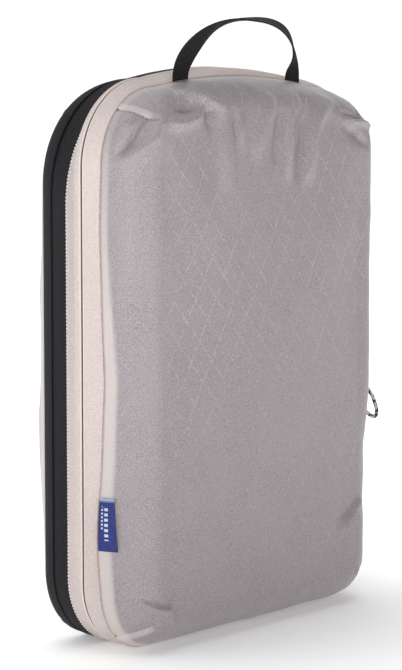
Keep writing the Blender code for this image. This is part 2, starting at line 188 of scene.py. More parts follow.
def skin(name, grid, material, wrap=(False, False), centre=None, caps=False):
    """Skin a grid of points, rows x columns; its UV map is in metres, along a column and across the rows."""
    grid = np.asarray(grid)
    rows, columns = grid.shape[:2]
    last_row = rows if wrap[0] else rows - 1
    last_column = columns if wrap[1] else columns - 1
    along = run_along(closed_up(grid[0]))
    across = run_along(closed_up(grid))
    bm = bmesh.new()
    vertices = [bm.verts.new(p) for p in grid.reshape(-1, 3)]
    layer = bm.loops.layers.uv.new("weave")
    for r in range(last_row):
        for c in range(last_column):
            corners = ((r, c), (r, c + 1), (r + 1, c + 1), (r + 1, c))
            face = bm.faces.new([vertices[(i % rows) * columns + j % columns] for i, j in corners])
            for loop, (i, j) in zip(face.loops, corners):
                loop[layer].uv = (along[j], across[i])
    if centre is not None:
        middle = bm.verts.new(centre)
        ring = vertices[-columns:]
        for c in range(columns):
            face = bm.faces.new((ring[c], ring[(c + 1) % columns], middle))
            for loop in face.loops:
                loop[layer].uv = (along[c], across[rows - 1])
    if caps:
        bm.faces.new([vertices[r * columns] for r in range(rows)])
        bm.faces.new([vertices[r * columns + columns - 1] for r in reversed(range(rows))])
    return finished(name, bm, material)


def thicken(piece, amount):
    """Give a cloth its thickness, behind the face that is drawn."""
    solid = piece.modifiers.new("cloth", "SOLIDIFY")
    solid.thickness = amount
    solid.offset = -1.0
    return piece


def dress(piece, body, slot, *nodes):
    """Let a finished piece ride its body in place of the plain nodes it stands for."""
    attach(piece, body)
    if nodes:
        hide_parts(*nodes)


def tube(path, radius, sides, closed=False, up=(0.0, 1.0, 0.0)):
    """Points round a path, sides x stations; up is a direction the path never runs along."""
    path = np.asarray(path, float)
    if closed:
        ends = np.roll(path, -1, axis=0) - np.roll(path, 1, axis=0)
    else:
        ends = np.gradient(path, axis=0)
    forward = unit(ends)
    side = unit(np.cross(forward, np.array(up)))
    over = np.cross(side, forward)
    radius = np.broadcast_to(radius, len(path))[:, None]
    turns = 2.0 * math.pi * (np.arange(sides) + 0.5) / sides
    return [path + radius * (math.cos(a) * side + math.sin(a) * over) for a in turns]


def stitches(name, path, out, material, length, gap, radius, slant=0.0):
    """Short raised threads along a path; out is the surface normal at each of its points."""
    path = np.asarray(path)
    out = np.asarray(out)
    run = run_along(path)
    bm = bmesh.new()
    sides = 5
    for k in range(int(run[-1] / (length + gap))):
        begin = k * (length + gap) + 0.5 * gap
        where = begin + length * np.array([0.0, 0.14, 0.5, 0.86, 1.0])
        spine = at_run(where, run, path)
        normal = unit(at_run(begin, run, out))
        along = unit(spine[-1] - spine[0])
        across = np.cross(along, normal)
        spine = spine + across * (slant * np.linspace(-0.5, 0.5, 5))[:, None]
        lift = np.array([-0.6, 0.35, 0.75, 0.35, -0.6]) * radius
        rings = []
        for centre, height, share in zip(spine, lift, (0.5, 0.95, 1.0, 0.95, 0.5)):
            ring = []
            for s in range(sides):
                turn = 2.0 * math.pi * s / sides
                spread = radius * share * (math.cos(turn) * across + math.sin(turn) * normal)
                ring.append(bm.verts.new(centre + normal * height + spread))
            rings.append(ring)
        loft(bm, rings)
    return finished(name, bm, material)


# --- materials


class Graph:
    """A material's node tree, with the few nodes these cloths are made of."""

    def __init__(self, name, roughness, sheen=0.0, specular=0.5):
        self.material = bpy.data.materials.new(name)
        self.material.use_nodes = True
        self.tree = self.material.node_tree
        self.shader = self.tree.nodes["Principled BSDF"]
        self.shader.inputs["Roughness"].default_value = roughness
        self.shader.inputs["Specular IOR Level"].default_value = specular
        self.shader.inputs["Sheen Weight"].default_value = sheen
        self.shader.inputs["Sheen Roughness"].default_value = 0.45
        self.bump = None

    def put(self, socket, value):
        if isinstance(value, bpy.types.NodeSocket):
            self.tree.links.new(value, socket)
        elif isinstance(value, tuple) and len(value) == 3 and len(socket.default_value) == 4:
            socket.default_value = (*value, 1.0)
        else:
            socket.default_value = value

    def math(self, operation, first, second=0.0):
        node = self.tree.nodes.new("ShaderNodeMath")
        node.operation = operation
        self.put(node.inputs[0], first)
        self.put(node.inputs[1], second)
        return node.outputs[0]

    def times(self, first, second):
        return self.math("MULTIPLY", first, second)

    def uv(self):
        """Metres along and across the cloth."""
        node = self.tree.nodes.new("ShaderNodeUVMap")
        node.uv_map = "weave"
        return self.split(node.outputs[0])[:2]

    def place(self):
        return self.tree.nodes.new("ShaderNodeTexCoord").outputs["Object"]

    def split(self, vector):
        node = self.tree.nodes.new("ShaderNodeSeparateXYZ")
        self.put(node.inputs[0], vector)
        return node.outputs

    def noise(self, scale, detail):
        node = self.tree.nodes.new("ShaderNodeTexNoise")
        self.put(node.inputs["Vector"], self.place())
        node.inputs["Scale"].default_value = scale
        node.inputs["Detail"].default_value = detail
        return node.outputs["Fac"]

    def attribute(self, name):
        node = self.tree.nodes.new("ShaderNodeAttribute")
        node.attribute_name = name
        return node.outputs["Fac"]

    def mix(self, factor, first, second):
        node = self.tree.nodes.new("ShaderNodeMix")
        node.data_type = "RGBA"
        self.put(node.inputs[0], factor)
        self.put(node.inputs[6], first)
        self.put(node.inputs[7], second)
        return node.outputs[2]

    def sine(self, value, pitch):
        return self.math("SINE", self.times(value, 2.0 * math.pi / pitch))

    def band(self, value, pitch, share):
        """1 along narrow lines a pitch apart, and 0 between them."""
        folded = self.math("PINGPONG", value, 0.5 * pitch)
        return self.math("LESS_THAN", folded, 0.5 * pitch * share)

    def grow(self, value, start, stop, low=0.0, high=1.0):
        """From low to high, smoothly, as the value goes from start to stop."""
        node = self.tree.nodes.new("ShaderNodeMapRange")
        node.interpolation_type = "SMOOTHSTEP"
        self.put(node.inputs[0], value)
        for socket, number in zip(node.inputs[1:5], (start, stop, low, high)):
            socket.default_value = number
        return node.outputs[0]

    def raised(self, height, distance):
        """Add a bump of this height in metres to the surface."""
        node = self.tree.nodes.new("ShaderNodeBump")
        node.inputs["Strength"].default_value = 1.0
        node.inputs["Distance"].default_value = distance
        self.put(node.inputs["Height"], height)
        if self.bump:
            self.put(node.inputs["Normal"], self.bump)
        self.bump = node.outputs["Normal"]
        self.put(self.shader.inputs["Normal"], self.bump)

    def colour(self, value):
        self.put(self.shader.inputs["Base Color"], value)


def ripstop_cloth():
    """Satin grey-mauve nylon with a faint diamond grid of thicker threads."""
    g = Graph("ripstop_mauve_grey", 0.44, sheen=0.2, specular=0.40)
    x, _, z = g.split(g.place())
    rising = g.math("ADD", g.times(x, 0.772), g.times(z, 0.636))
    falling = g.math("SUBTRACT", g.times(x, 0.875), g.times(z, 0.483))
    grid = g.math("MAXIMUM", g.band(rising, 0.0142, 0.055), g.band(falling, 0.0159, 0.050))
    speckle = g.noise(1700.0, 2.0)
    broken = g.grow(g.noise(420.0, 1.0), 0.42, 0.60, 0.05, 0.55)
    broken = g.times(broken, g.grow(g.noise(9.0, 1.0), 0.36, 0.60, 0.25, 1.0))
    broken = g.times(broken, g.grow(x, -0.118, -0.075))
    broken = g.times(broken, g.grow(z, 0.06, 0.20, 0.35, 1.0))
    cloudy = g.noise(26.0, 3.0)
    tone = g.mix(g.grow(speckle, 0.36, 0.64), (0.195, 0.171, 0.182), (0.345, 0.308, 0.323))
    tone = g.mix(g.grow(cloudy, 0.35, 0.65, 0.0, 0.20), tone, (0.33, 0.287, 0.296))
    tone = g.mix(g.times(grid, broken), tone, (0.47, 0.435, 0.447))
    # rim band: lighter next to the seam where the seam allowance shows through the thin cloth, plus painted
    # light on the lower left wall that faces the key light
    tone = g.mix(g.attribute("rim"), tone, (0.55, 0.495, 0.48))
    tone = g.mix(g.attribute("lap"), tone, (0.62, 0.56, 0.53))
    g.colour(tone)
    g.raised(speckle, 0.00005)
    g.raised(grid, 0.00005)
    return g.material


def tape_cloth(name, base, shade, edge, pitch, sheen):
    """Plain woven zipper tape; its edge attribute marks the rolled lip at the slit."""
    g = Graph(name, 0.80, sheen=sheen, specular=0.2)
    along, across = g.uv()
    twill = g.math("ADD", along, across)
    thread = g.times(g.sine(twill, pitch), g.sine(across, 0.8 * pitch))
    speckle = g.noise(1300.0, 1.0)
    tone = g.mix(g.grow(speckle, 0.3, 0.7), shade, base)
    tone = g.mix(g.attribute("edge"), tone, edge)
    g.colour(tone)
    g.raised(thread, 0.00008)
    g.raised(speckle, 0.00005)
    return g.material


def webbing_cloth():
    """Black ribbed webbing: cross ribs over fine threads along its length."""
    g = Graph("webbing_black", 0.72, sheen=0.0, specular=0.25)
    along, across = g.uv()
    rib = g.sine(along, 0.0016)
    thread = g.sine(across, 0.0011)
    fleck = g.noise(1400.0, 1.0)
    g.colour(g.mix(g.grow(fleck, 0.4, 0.75), (0.004, 0.0035, 0.004), (0.019, 0.017, 0.0185)))
    g.raised(rib, 0.00022)
    g.raised(thread, 0.00006)
    return g.material


def plain_cloth(name, dark, light, roughness=0.8):
    """Plain weave in two close tones."""
    pitch = 0.0009
    g = Graph(name, roughness, sheen=0.1, specular=0.3)
    along, across = g.uv()
    fleck = g.noise(1200.0, 1.0)
    g.colour(g.mix(g.grow(fleck, 0.35, 0.65), dark, light))
    g.raised(g.times(g.sine(along, pitch), g.sine(across, pitch)), 0.00008)
    return g.material


def braid(name):
    """Dark round braid flecked with pale threads."""
    g = Graph(name, 0.7, sheen=0.15, specular=0.3)
    along, across = g.uv()
    left = g.sine(g.math("ADD", along, across), 0.0021)
    right = g.sine(g.math("SUBTRACT", along, across), 0.0021)
    cross = g.times(left, right)
    fleck = g.grow(g.noise(400.0, 0.0), 0.46, 0.53)
    thread = g.times(fleck, g.grow(cross, -0.6, 0.0, 0.35, 1.0))
    g.colour(g.mix(thread, (0.022, 0.018, 0.021), (0.74, 0.66, 0.66)))
    g.raised(cross, 0.00022)
    return g.material


def painted_metal():
    """Black paint, worn to grey in specks."""
    g = Graph("slider_black", 0.34, specular=0.5)
    wear = g.grow(g.noise(420.0, 3.0), 0.62, 0.72, 0.0, 0.5)
    g.colour(g.mix(wear, (0.018, 0.018, 0.020), (0.10, 0.10, 0.105)))
    g.raised(g.noise(900.0, 2.0), 0.00002)
    return g.material


def nylon_coil(name, colour, shade):
    """Glossy nylon in two close tones."""
    g = Graph(name, 0.38, specular=0.5)
    g.colour(g.mix(g.grow(g.noise(300.0, 1.0), 0.4, 0.6), shade, colour))
    return g.material


def woven_label():
    """Navy satin ribbon with plain woven bars instead of lettering."""
    g = Graph("label_navy", 0.55, sheen=0.05, specular=0.35)
    along, across = g.uv()

    def between(value, low, high, blur):
        rising = g.grow(value, low, low + blur)
        falling = g.grow(value, high, high + blur, 1.0, 0.0)
        return g.times(rising, falling)

    def column(inner, outer, low, high, pitch, share):
        width = between(across, inner, outer, 0.0003)
        length = between(along, low, high, 0.0002)
        return g.times(g.band(along, pitch, share), g.times(width, length))

    wide = column(0.0044, 0.0070, 0.0055, 0.0270, 0.0034, 0.55)
    narrow = column(0.0020, 0.0033, 0.0050, 0.0205, 0.0024, 0.50)
    pattern = g.math("MAXIMUM", wide, narrow)
    speckle = g.grow(g.noise(900.0, 1.0), 0.3, 0.7)
    tone = g.mix(speckle, (0.010, 0.018, 0.125), (0.018, 0.030, 0.185))
    tone = g.mix(g.times(pattern, 0.85), tone, (0.62, 0.66, 0.76))
    tone = g.mix(g.attribute("edge"), tone, (0.52, 0.60, 0.80))
    g.colour(tone)
    g.raised(g.times(g.sine(along, 0.0007), g.sine(across, 0.0007)), 0.00006)
    return g.material


RIPSTOP = ripstop_cloth()
BEIGE = tape_cloth("tape_beige", (0.64, 0.56, 0.54), (0.53, 0.46, 0.445), (0.72, 0.63, 0.57), 0.0010, 0.1)
BLACK = tape_cloth(
    "tape_black", (0.018, 0.0175, 0.021), (0.008, 0.008, 0.010), (0.006, 0.006, 0.007), 0.0012, 0.0
)
WEBBING = webbing_cloth()
BINDING = plain_cloth("binding_grey", (0.11, 0.10, 0.10), (0.19, 0.175, 0.175))
THREAD_TAN = plain_cloth("thread_tan", (0.40, 0.27, 0.20), (0.56, 0.41, 0.32), 0.6)
THREAD_PALE = plain_cloth("thread_pale", (0.80, 0.76, 0.73), (0.90, 0.87, 0.84), 0.6)
THREAD_DARK = plain_cloth("thread_dark", (0.045, 0.035, 0.035), (0.08, 0.065, 0.06), 0.6)
BEIGE_COIL = nylon_coil("coil_beige", (0.42, 0.29, 0.235), (0.30, 0.20, 0.16))
BLACK_COIL = nylon_coil("coil_black", (0.016, 0.016, 0.018), (0.010, 0.010, 0.011))
METAL = painted_metal()
BRAID = braid("cord_speckled")
LABEL = woven_label()


def paint_points(piece, name, values):
    """Store a value at each of the first points, and 0 at the rest, for the material to read."""
    layer = piece.data.attributes.new(name, "FLOAT", "POINT")
    painted = np.zeros(len(piece.data.vertices), np.float32)
    painted[: len(values)] = values
    layer.data.foreach_set("value", painted)


# --- camera and lights


def camera():
    """Long lens low on the left, aimed at the cube's middle."""
    azimuth = math.radians(-49.53)
    elevation = math.radians(6.15)
    distance = 1.582
    aim = Vector((-0.0011, 0.0096, 0.1928))
    back = Vector((
        math.sin(azimuth) * math.cos(elevation),
        -math.cos(azimuth) * math.cos(elevation),
        math.sin(elevation),
    ))
    data = bpy.data.cameras.new("camera")
    data.sensor_width = 36.0
    data.lens = 125.65
    data.clip_start = 0.05
    made = placed("camera", data)
    made.location = aim + back * distance
    made.rotation_euler = (-back).to_track_quat("-Z", "Y").to_euler()
    bpy.context.scene.camera = made


def area_light(name, place, aim, size, power):
    data = bpy.data.lights.new(name, "AREA")
    data.shape = "RECTANGLE"
    data.size, data.size_y = size
    data.energy = power
    made = placed(name, data)
    made.location = place
    made.rotation_euler = (Vector(aim) - Vector(place)).to_track_quat("-Z", "Y").to_euler()


def studio():
    """White floor and backdrop, with a key light on the left, a low fill and a soft top light."""
    scene = bpy.context.scene
    scene.view_settings.view_transform = "Standard"
    scene.view_settings.look = "None"
    world = bpy.data.worlds.new("studio")
    world.use_nodes = True
    nodes = world.node_tree.nodes
    links = world.node_tree.links
    where = nodes.new("ShaderNodeTexCoord")
    axes = nodes.new("ShaderNodeSeparateXYZ")
    backdrop = nodes.new("ShaderNodeMapRange")
    backdrop.interpolation_type = "SMOOTHSTEP"
    for socket, number in zip(backdrop.inputs[1:5], (-0.25, 0.42, 0.055, 1.06)):
        socket.default_value = number
    links.new(where.outputs["Generated"], axes.inputs[0])
    links.new(axes.outputs["Y"], backdrop.inputs[0])
    links.new(backdrop.outputs[0], nodes["Background"].inputs["Strength"])
    nodes["Background"].inputs["Color"].default_value = (1.0, 0.998, 0.996, 1.0)
    scene.world = world
    area_light("key", (-1.25, -0.72, 0.42), (0.0, 0.0, 0.15), (0.30, 0.36), 6.8)
    area_light("low", (-0.35, -1.35, 0.10), (0.0, 0.0, 0.02), (1.1, 0.18), 5.4)
    area_light("top", (0.0, 0.2, 2.6), (0.0, 0.0, 0.0), (2.4, 2.4), 27.0)
    bpy.ops.mesh.primitive_plane_add(size=60.0, location=(0.0, 0.0, -0.0002))
    floor = bpy.context.object
    floor.name = "floor"
    g = Graph("floor_pale", 0.9, specular=0.1)
    g.colour((0.97, 0.97, 0.97))
    x, y, _ = g.split(g.place())
    away = g.math("SQRT", g.math("ADD", g.times(x, x), g.times(y, y)))
    g.put(g.shader.inputs["Emission Strength"], g.grow(away, 0.06, 0.7, 0.20, 0.70))
    g.shader.inputs["Emission Color"].default_value = (1.0, 1.0, 1.0, 1.0)
    floor.data.materials.append(g.material)


# --- ring and trays


def outline(half, low, high, radius, foot_radius):
    """Rounded rectangle in XZ from the bottom centre, anticlockwise, with its normals."""
    reach = half - radius
    foot_reach = half - foot_radius
    points = []
    normals = []
    sweep = np.linspace(-1.0, 1.0, ARC_POINTS)
    shares = 0.5 + 0.5 * sweep * np.sqrt(np.abs(sweep))

    def run(xs, zs, nx, nz):
        count = max(len(xs), len(zs))
        points.append(np.stack([np.broadcast_to(xs, count), np.broadcast_to(zs, count)], axis=1))
        normals.append(np.tile((nx, nz), (count, 1)))

    def arc(cx, cz, start, size):
        turn = start + 0.5 * math.pi * shares
        normal = np.stack([np.cos(turn), np.sin(turn)], axis=1)
        points.append(np.array([cx, cz]) + size * normal)
        normals.append(normal)

    spine = min(SPINE_HALF, foot_reach - ARC_GAP)
    spine_xs = np.linspace(0.0, spine, SPINE_POINTS)
    foot_xs = np.linspace(spine, foot_reach, FOOT_POINTS + 2)[1:-1]
    flat = np.concatenate([spine_xs, foot_xs])
    sides = np.linspace(low + foot_radius, high - radius, SIDE_POINTS + 2)[1:-1]
    tops = np.linspace(reach, -reach, TOP_POINTS + 2)[1:-1]
    run(flat, [low], 0.0, -1.0)
    arc(foot_reach, low + foot_radius, -0.5 * math.pi, foot_radius)
    run([half], sides, 1.0, 0.0)
    arc(reach, high - radius, 0.0, radius)
    run(tops, high + TOP_CROWN * (1.0 - (tops / reach) ** 2), 0.0, 1.0)
    arc(-reach, high - radius, 0.5 * math.pi, radius)
    run([-half], sides[::-1], -1.0, 0.0)
    arc(-foot_reach, low + foot_radius, math.pi, foot_radius)
    run(-flat[:0:-1], [low], 0.0, -1.0)
    return np.concatenate(points), np.concatenate(normals)


# the outline's point at the end of the hinge cloth, those in the middle of its corners,
# and the side to which each corner's dart is lapped
SPINE_POINT = SPINE_POINTS - 1
FIRST_CORNER = SPINE_POINTS + FOOT_POINTS + ARC_POINTS // 2
UP_A_SIDE = ARC_POINTS + SIDE_POINTS
CORNER_MIDDLES = np.cumsum([FIRST_CORNER, UP_A_SIDE, ARC_POINTS + TOP_POINTS, UP_A_SIDE])
DARTS = list(zip(CORNER_MIDDLES, (-1, 1, -1, 1)))


def seam_drift(x, z):
    """How far back the front seam wanders on the label's side, where the tray leans over it."""
    wander = 0.0052 * hill(z - 0.073, 0.040) + 0.0018 * hill(z - 0.272, 0.040)
    wander = wander - 0.0015 * hill(z - 0.176, 0.022)
    return wander * smooth(-0.108, -0.126, x)


def swell_at(y):
    """How far the ring of tapes bulges past its seams."""
    return BULGE * max(0.0, 1.0 - abs((y - RING_CENTRE) / (2.0 * HALF_TAPE)) ** BULGE_POWER)


def ring_loop(y):
    """The ring's outline at y, with its waist at the middle seam."""
    u = 0.25 * (y - NEAR_SEAM) / HALF_TAPE
    swell = swell_at(y)
    edge = COMPRESSION_SLIT + WAIST_FROM_SLIT if y < MID_SEAM else FAR_SEAM
    waist = WAIST * float(smooth(edge, MID_SEAM, y))
    radius = RADIUS_NEAR + (RADIUS_FAR - RADIUS_NEAR) * u + swell + waist
    foot_radius = FOOT_RADIUS_NEAR + (FOOT_RADIUS_FAR - FOOT_RADIUS_NEAR) * u + swell
    return outline(HALF_WIDTH + swell, 0.0, HEIGHT + swell, radius, foot_radius)


def ring_normals(y):
    """The ring's outline at y, its normals in the outline's plane, and the surface's own."""
    step = 1e-5
    points, flat = ring_loop(y)
    slope = ((ring_loop(y + step)[0] - ring_loop(y - step)[0]) * flat).sum(axis=1) / (2.0 * step)
    return points, flat, unit(np.stack([flat[:, 0], -slope, flat[:, 1]], axis=1))


def ring_points(y, depth, tilted=True):
    """Points on the ring's surface at y, sunk by depth."""
    points, flat, normal = ring_normals(y)
    if not tilted:
        normal = np.stack([flat[:, 0], np.zeros(len(flat)), flat[:, 1]], axis=1)
    out = np.stack([points[:, 0], np.full(len(points), y), points[:, 1]], axis=1)
    return out - normal * depth


def zipped(points):
    """The stretch of a loop that the main zipper covers, from spine to spine."""
    return points[SPINE_POINT : len(points) - SPINE_POINT + 1]


def tape(name, body, slot, seam_edge, slit_edge, material, whole):
    """Half a zipper tape: a thin closed band with a rolled lip at the slit."""
    rows = []
    marks = []
    width = abs(slit_edge - seam_edge)
    toward = 1.0 if slit_edge > seam_edge else -1.0
    outer = (0.0, 0.02, 0.1, 0.25, 0.42, 0.6, 0.78, 0.875, 0.91, 0.94, 0.97, 0.99, 1.0)
    for share in outer:
        raise_by = TAPE_LIP * smooth(0.88, 0.94, share) - 0.0004 * smooth(0.965, 1.0, share)
        raise_by -= 0.0003 * smooth(0.03, 0.0, share)
        rows.append((seam_edge + toward * width * share, -raise_by))
        marks.append(float(smooth(0.905, 0.935, share)))
    for share in (1.0, 0.96, 0.7, 0.4, 0.0):
        rows.append((seam_edge + toward * width * share, TAPE_THICK - (0.0001 if share < 1.0 else 0.0003)))
        marks.append(0.0)
    cut = np.asarray if whole else zipped
    grid = np.array([cut(ring_points(y, depth)) for y, depth in rows])
    count = len(outer)
    wobble = ripple(grid[count // 2], 0.035, 2.0 + abs(seam_edge) * 100.0) * TAPE_WOBBLE
    middle = (0.5 - np.abs(np.linspace(0.0, 1.0, count) - 0.5))[:, None]
    normal = cut(ring_normals(0.5 * (seam_edge + slit_edge))[2])
    grid[:count] += (2.0 * middle * wobble[None, :])[:, :, None] * normal[None]
    if not whole:
        # room under the tape for the lid to fold flat against the ring
        grid[:, :, 2] = np.maximum(grid[:, :, 2], -0.04 * np.abs(grid[:, :, 1] - MAIN_SLIT))
    if abs(seam_edge - NEAR_SEAM) < HALF_TAPE:
        from_seam = np.abs(grid[:, :, 1] - slit_edge) / width
        grid[:, :, 1] += np.clip(from_seam, 0.0, 1.0) * seam_drift(grid[:, :, 0], grid[:, :, 2])
    piece = skin(name, grid, material, (True, whole), caps=not whole)
    paint_points(piece, "edge", np.repeat(marks, grid.shape[1]))
    dress(piece, body, slot, name)


def coil(name, body, slot, slit, side, material, whole):
    """Nylon coil: a flattened helix whose turns reach almost to the slit's middle."""
    cut = closed_up if whole else zipped
    base = cut(ring_points(slit, TAPE_THICK + 0.0003))
    normal = cut(ring_normals(slit)[2])
    run = run_along(base)
    per_turn = 8
    turns = int(run[-1] / COIL_PITCH)
    where = np.linspace(0.0, run[-1], turns * per_turn + 1)
    if whole:
        where = where[:-1]
    centre = at_run(where, run, base)
    out = at_run(where, run, normal)
    phase = 2.0 * math.pi * np.arange(len(where)) / per_turn + (0.0 if side > 0 else math.pi)
    path = centre + out * (0.00042 * np.sin(phase))[:, None]
    path[:, 1] += side * (0.00118 - 0.00082 * np.cos(phase))
    grid = tube(path, COIL_WIRE, 5, closed=whole, up=(0.3, 0.9, 0.31))
    piece = skin(name, grid, material, (True, whole), caps=not whole)
    dress(piece, body, slot, name)


def binding(name, body, seam):
    """Grosgrain folded round the raw seam inside."""
    half = 0.0006
    corners = []
    for side, depths in ((-1.0, (0.0019, 0.004, 0.006, 0.0081)), (1.0, (0.0081, 0.006, 0.004, 0.0019))):
        corners += [(seam + side * half, depth) for depth in depths]
    corners.insert(4, (seam, 0.0085))
    grid = np.array([ring_points(seam, depth, tilted=False) for _, depth in corners])
    grid[:, :, 1] = np.array(corners)[:, :1]
    sway = ripple(grid[3], 0.02, seam * 100.0) * 0.0006
    share = np.array([smooth(0.0025, 0.0085, depth) for _, depth in corners])
    grid[:, :, 1] += share[:, None] * sway[None, :]
    dress(skin(name, grid, BINDING, (True, True)), body, "binding_grey", name)


def gusset():
    """Folded expansion cloth behind the compression zipper."""
    hem = 0.0018
    first = NEAR_SEAM + hem
    last = MID_SEAM - hem
    count = 37
    pleats = 3.0
    share = np.linspace(0.0, 1.0, count)
    ys = np.linspace(first, last, count)
    depth = 0.00935 - 0.0040 * np.cos(2.0 * math.pi * pleats * share)
    grid = np.array([ring_points(y, d, tilted=False) for y, d in zip(ys, depth)])
    sway = ripple(grid[count // 2], 0.03, 4.0) * 0.0005
    fade = np.sin(math.pi * share)
    grid[:, :, 1] += fade[:, None] * sway[None, :]
    piece = skin("expansion_gusset", grid, RIPSTOP, (False, True))
    thicken(piece, 0.0003)
    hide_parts("expansion_gusset")
    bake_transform(piece)


def tray(seam, side, depth):
    """Loops from the seam over the rounded wall to the face, and how far along the wall each one is."""
    base, foot, corner = RADIUS_FAR, FOOT_RADIUS_FAR, FAR_TRAY_CORNER
    if side < 0:
        base, foot, corner = RADIUS_NEAR, FOOT_RADIUS_NEAR, NEAR_TRAY_CORNER
    rows = []
    shares = []
    start = TRAY_START
    for share in np.linspace(0.0, 1.0, WALL_ROWS):
        angle = start + (0.5 * math.pi - start) * share
        inset = (math.cos(start) - math.cos(angle)) / math.cos(start)
        out = depth * (math.sin(angle) - math.sin(start)) / (1.0 - math.sin(start))
        points, _ = outline(
            HALF_WIDTH - TRAY_INSET_X * inset,
            TRAY_INSET_Z * inset,
            HEIGHT - TRAY_INSET_Z * inset,
            base + (corner - base) * inset,
            foot + (corner - foot) * inset,
        )
        y = seam + side * (0.5 * SEAM_GAP + out)
        rows.append(np.stack([points[:, 0], np.full(len(points), y), points[:, 1]], axis=1))
        shares.append(share)
    rim = rows[-1]
    middle = np.array([0.0, rim[0, 1], 0.5 * HEIGHT])
    for scale in np.linspace(1.0, 0.0, FACE_ROWS + 1)[1:-1]:
        inner = middle + (rim - middle) * scale
        inner[:, 1] = rim[0, 1] + side * FACE_CROWN * (1.0 - scale ** 2)
        rows.append(inner)
        shares.append(2.0 - scale)
    return np.array(rows), np.array(shares)


def grid_normals(grid, side):
    """Normals of a tray's grid, pointing out on its side of the cube."""
    down = np.gradient(grid, axis=0)
    along = np.roll(grid, -1, axis=1) - np.roll(grid, 1, axis=1)
    normal = unit(np.cross(down, along))
    if normal[-1, 0, 1] * side < 0.0:
        normal = -normal
    return normal


def from_route(grid, route):
    """Distance of each point from a route over the cloth, and how far along the route it lies, 0 to 1."""
    legs = np.linalg.norm(np.diff(route, axis=0), axis=1)
    nearest = np.full(grid.shape[:2], 1.0)
    along = np.zeros(grid.shape[:2])
    done = 0.0
    for a, b, leg in zip(route, route[1:], legs):
        share = np.clip(((grid - a) @ (b - a)) / leg ** 2, 0.0, 1.0)
        gap = np.linalg.norm(grid - a - share[..., None] * (b - a), axis=-1)
        closer = gap < nearest
        nearest[closer] = gap[closer]
        along[closer] = ((done + share * leg) / legs.sum())[closer]
        done += leg
    return nearest, along


def laid_on(grid, route):
    """A route drawn near the cloth, moved onto its nearest points every few millimetres."""
    cloth = grid.reshape(-1, 3)
    points = [np.array(route[0])]
    for a, b in zip(route, route[1:]):
        a, b = np.array(a), np.array(b)
        count = max(1, int(np.linalg.norm(b - a) / 0.006))
        points += [a + (b - a) * step / count for step in range(1, count + 1)]
    laid = []
    for point in points:
        spot = cloth[np.argmin(((cloth - point) ** 2).sum(axis=1))]
        if not laid or np.linalg.norm(spot - laid[-1]) > 0.002:
            laid.append(spot)
    return np.array(laid)


def fold(grid, height, width, *route):
    """A soft ridge along a route over the cloth, or a valley if height is negative."""
    gap, along = from_route(grid, laid_on(grid, route))
    height *= RIDGE_STRENGTH if height > 0.0 else VALLEY_STRENGTH
    return height * (0.25 + 0.75 * np.sin(math.pi * (0.12 + 0.76 * along))) * hill(gap, width)


def dart_line(grid, corner):
    """The dart's seam, up the middle of a corner's wall."""
    return grid[: int(DART_END * WALL_ROWS) + 1, corner]


def dart_lap(grid, corner, side_of_lap):
    """Each point's distance from a corner's dart, its share along it, and 1 on the lap's side or -1."""
    gap, along = from_route(grid, dart_line(grid, corner))
    columns = np.arange(grid.shape[1]) - corner
    return gap, along, np.sign(columns)[None, :] * side_of_lap


def dart_relief(grid, corner, side_of_lap):
    """Sewn corner dart, with the step of its lap, the fullness on both sides and a nick at its tip."""
    gap, along, side = dart_lap(grid, corner, side_of_lap)
    body = smooth(1.02, 0.90, along)
    lift = -0.0010 * hill(gap, 0.0007) * body
    lift += 0.0005 * smooth(0.0002, 0.0009, gap * side) * smooth(0.0065, 0.0045, gap) * body
    lift += 0.0011 * hill(gap - 0.0085, 0.0050) * np.sin(math.pi * along)
    tip = dart_line(grid, corner)[-1]
    reach = np.linalg.norm(grid - tip, axis=2)
    lift += 0.0011 * hill(reach - 0.0012, 0.0022)
    return lift


